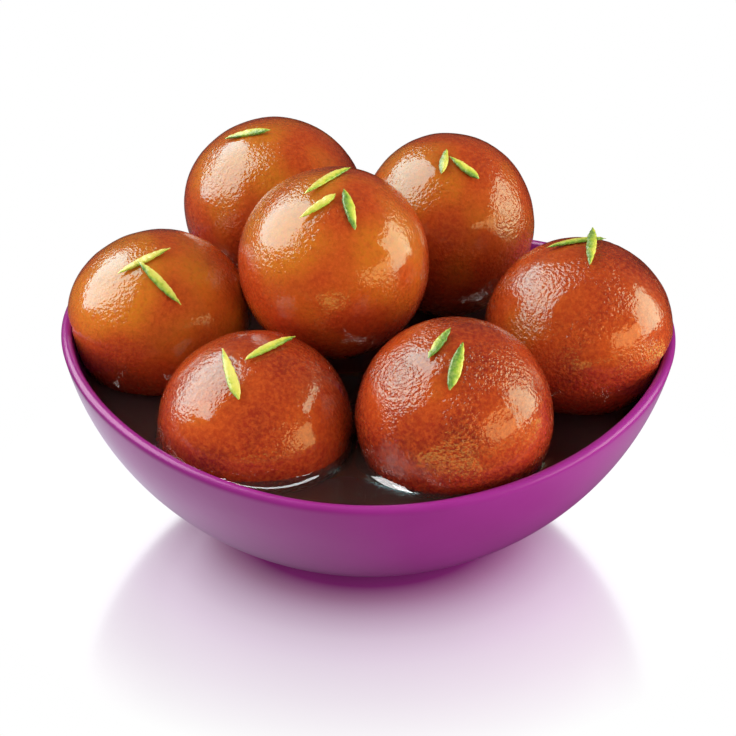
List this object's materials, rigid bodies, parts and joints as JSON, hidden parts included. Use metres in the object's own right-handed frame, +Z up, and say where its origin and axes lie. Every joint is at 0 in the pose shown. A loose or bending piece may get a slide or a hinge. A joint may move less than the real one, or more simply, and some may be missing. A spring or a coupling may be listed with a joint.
{
  "type": "gulab jamun in a bowl",
  "caption": "Round fried milk-dough sweets piled in sugar syrup in a shallow purple bowl with a gently waved rim.",
  "frame": {"origin": "middle of the bowl's flat foot, on the surface that it stands on", "axes": "+Z up; -Y to the front of the bowl, where the rim is low; +X to the right, where the rim is high"},
  "size_m": [0.1474, 0.1422, 0.0931],
  "materials": {
    "bowl": "satin purple melamine",
    "syrup": "clear dark brown sugar syrup",
    "jamun": "fried golden brown dough, wet with syrup",
    "pistachio": "fresh green pistachio slivers, moist"
  },
  "bodies": {
    "root": {"bowl": "bowl", "syrup": "syrup", "jamun_top": "jamun", "jamun_back_left": "jamun", "jamun_back_right": "jamun", "jamun_left": "jamun", "jamun_right": "jamun", "jamun_front_left": "jamun", "jamun_front_right": "jamun"}
  },
  "joints": []
}
